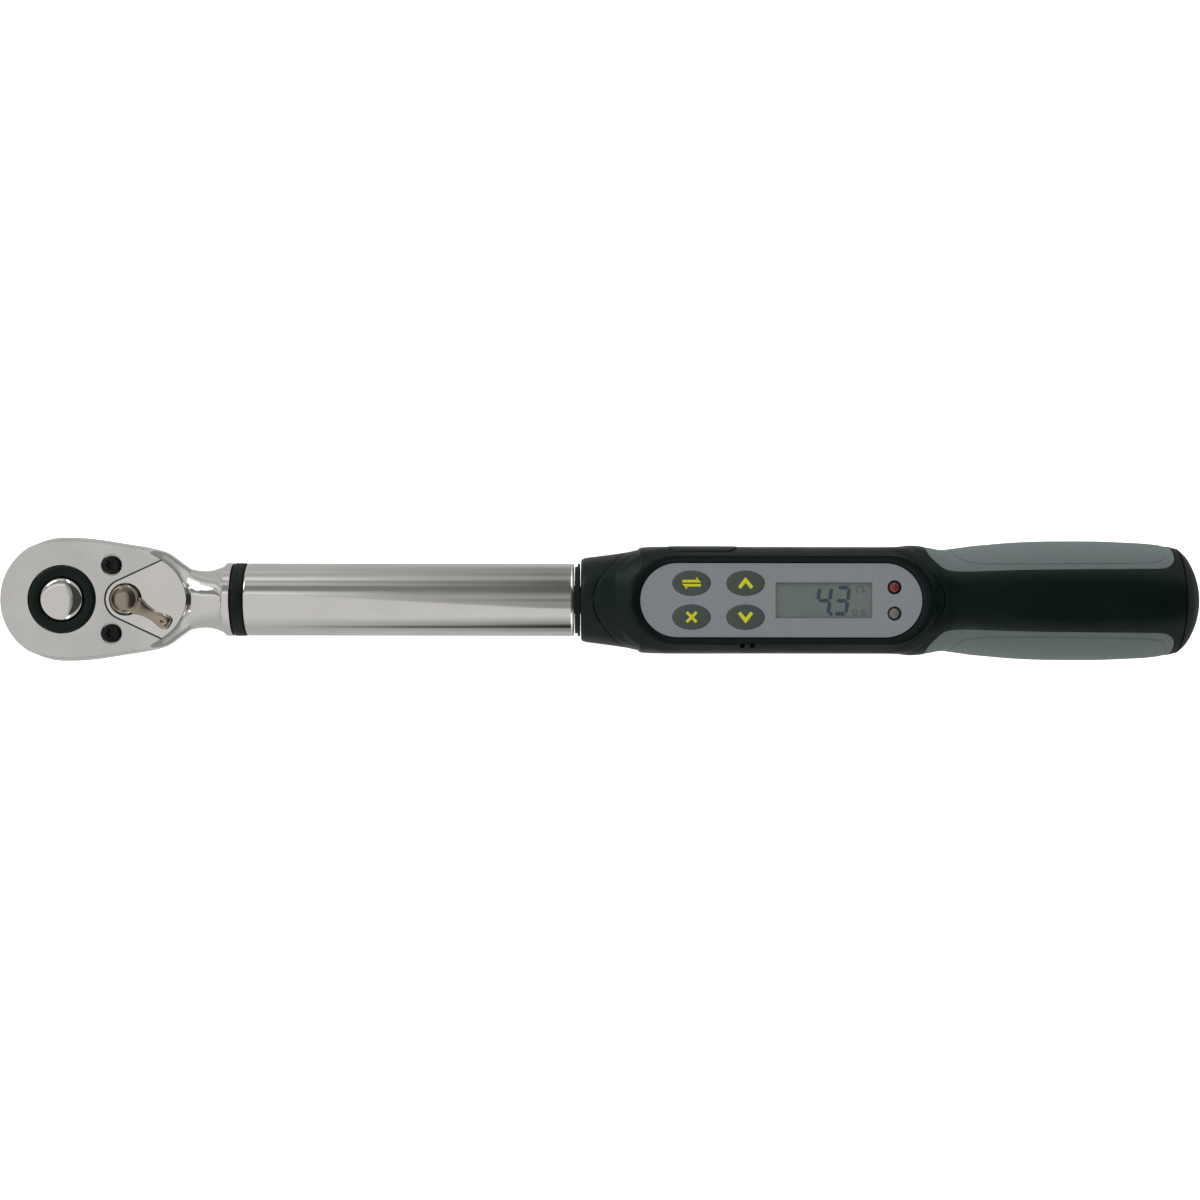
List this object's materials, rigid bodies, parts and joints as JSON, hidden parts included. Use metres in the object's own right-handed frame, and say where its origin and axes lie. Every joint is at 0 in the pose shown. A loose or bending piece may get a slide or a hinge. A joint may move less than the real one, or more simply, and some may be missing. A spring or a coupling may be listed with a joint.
{
  "type": "electronic torque wrench",
  "caption": "Electronic torque wrench with a reversible square drive ratchet head, a round steel tube and a moulded handle that holds a display, keys and batteries.",
  "frame": {"origin": "centre of the drive square's end face", "axes": "+X towards the handle's end, +Z out of the display face, along the drive's axis"},
  "size_m": [0.3958, 0.0408, 0.0375],
  "materials": {
    "chrome": "polished",
    "satin_chrome": "fine satin",
    "steel": "machined",
    "spring_steel": "bright wire",
    "black_steel": "black oxide",
    "bronze": "polished antique bronze",
    "black_ring": "satin black",
    "seal_rubber": "smooth black",
    "gauge_film": "film on foil",
    "housing": "fine textured black",
    "panel": "printed film",
    "key": "printed film",
    "window": "clear",
    "lcd": "grey green display",
    "red_lens": "tinted lens",
    "clear_lens": "clear lens",
    "board": "solder mask",
    "port_rubber": "matte black",
    "grip": "soft matte grey",
    "cell_wrap": "plain wrap"
  },
  "bodies": {
    "frame": {"ratchet_head": "chrome", "cover_plate": "satin_chrome", "cover_screw_1": "black_steel", "cover_screw_2": "black_steel", "front_seal_ring": "seal_rubber", "outer_tube": "chrome", "rear_seal": "seal_rubber", "load_beam": "steel", "head_pin": "steel", "beam_screw": "black_steel", "strain_gauge_1": "gauge_film", "strain_gauge_2": "gauge_film", "gauge_cable": "seal_rubber", "handle_body": "housing", "display_cover": "housing", "case_screw_1": "black_steel", "case_screw_2": "black_steel", "case_screw_3": "black_steel", "case_screw_4": "black_steel", "panel_overlay": "panel", "switch_units": "steel", "switch_clear": "steel", "switch_up": "steel", "switch_down": "steel", "lcd_window": "window", "lcd_module": "lcd", "red_light": "red_lens", "clear_light": "clear_lens", "circuit_board": "board", "buzzer": "black_ring", "comm_jack": "steel", "grip_pad_upper": "grip", "grip_pad_lower": "grip", "battery_carrier": "black_ring", "battery_1": "cell_wrap", "battery_2": "cell_wrap", "front_contact_1": "spring_steel", "front_contact_2": "spring_steel", "contact_spring_1": "spring_steel", "contact_spring_2": "spring_steel"},
    "drive": {"drive_gear": "steel", "dust_ring": "black_ring", "release_spring": "spring_steel"},
    "button": {"release_button": "chrome"},
    "ball": {"detent_ball": "steel"},
    "lever": {"reverse_lever": "bronze", "lever_plunger": "steel", "plunger_spring": "spring_steel"},
    "pawl": {"pawl": "steel"},
    "units_key": {"key_units": "key"},
    "clear_key": {"key_clear": "key"},
    "up_key": {"key_up": "key"},
    "down_key": {"key_down": "key"},
    "port_flap": {"port_cover": "port_rubber"},
    "cap_seal": {"cap_o_ring": "seal_rubber"},
    "cap": {"battery_cap": "housing"}
  },
  "joints": [
    {"name": "drive_spin", "type": "hinge", "parent": "frame", "child": "drive", "pos_m": [0, 0, 0.0194], "axis": [0, 0, 1], "continuous": true},
    {"name": "release_press", "type": "slide", "parent": "drive", "child": "button", "axis": [0, 0, -1], "range_m": [0, 0.0025], "stiffness_N_per_m": 800, "springref_m": -0.001, "deforming": ["release_spring"]},
    {"name": "ball_retract", "type": "slide", "parent": "drive", "child": "ball", "axis": [0, -1, 0], "range_m": [0, 0.0006]},
    {"name": "lever_turn", "type": "hinge", "parent": "frame", "child": "lever", "pos_m": [0.0209, 0, 0.0274], "axis": [0, 0, 1], "range_deg": [0, 59]},
    {"name": "pawl_rock", "type": "hinge", "parent": "frame", "child": "pawl", "pos_m": [0.0209, 0, 0.0194], "axis": [0, 0, 1], "range_deg": [0, 5.9]},
    {"name": "units_press", "type": "slide", "parent": "frame", "child": "units_key", "axis": [0, 0, -1], "range_m": [0, 0.0004], "stiffness_N_per_m": 2000, "springref_m": -0.0003},
    {"name": "clear_press", "type": "slide", "parent": "frame", "child": "clear_key", "axis": [0, 0, -1], "range_m": [0, 0.0004], "stiffness_N_per_m": 2000, "springref_m": -0.0003},
    {"name": "up_press", "type": "slide", "parent": "frame", "child": "up_key", "axis": [0, 0, -1], "range_m": [0, 0.0004], "stiffness_N_per_m": 2000, "springref_m": -0.0003},
    {"name": "down_press", "type": "slide", "parent": "frame", "child": "down_key", "axis": [0, 0, -1], "range_m": [0, 0.0004], "stiffness_N_per_m": 2000, "springref_m": -0.0003},
    {"name": "port_open", "type": "hinge", "parent": "frame", "child": "port_flap", "pos_m": [0.21, 0.01725, 0.0286], "axis": [-1, 0, 0], "range_deg": [0, 95]},
    {"name": "cap_pull", "type": "slide", "parent": "frame", "child": "cap_seal", "axis": [1, 0, 0], "range_m": [0, 0.04]},
    {"name": "cap_turn", "type": "hinge", "parent": "cap_seal", "child": "cap", "pos_m": [0.3669, 0, 0.0194], "axis": [1, 0, 0], "range_deg": [0, 90]}
  ],
  "couplings": [
    {"joint": "ball_retract", "follows": "release_press", "ratio": 0.24},
    {"joint": "pawl_rock", "follows": "lever_turn", "ratio": 0.1}
  ]
}
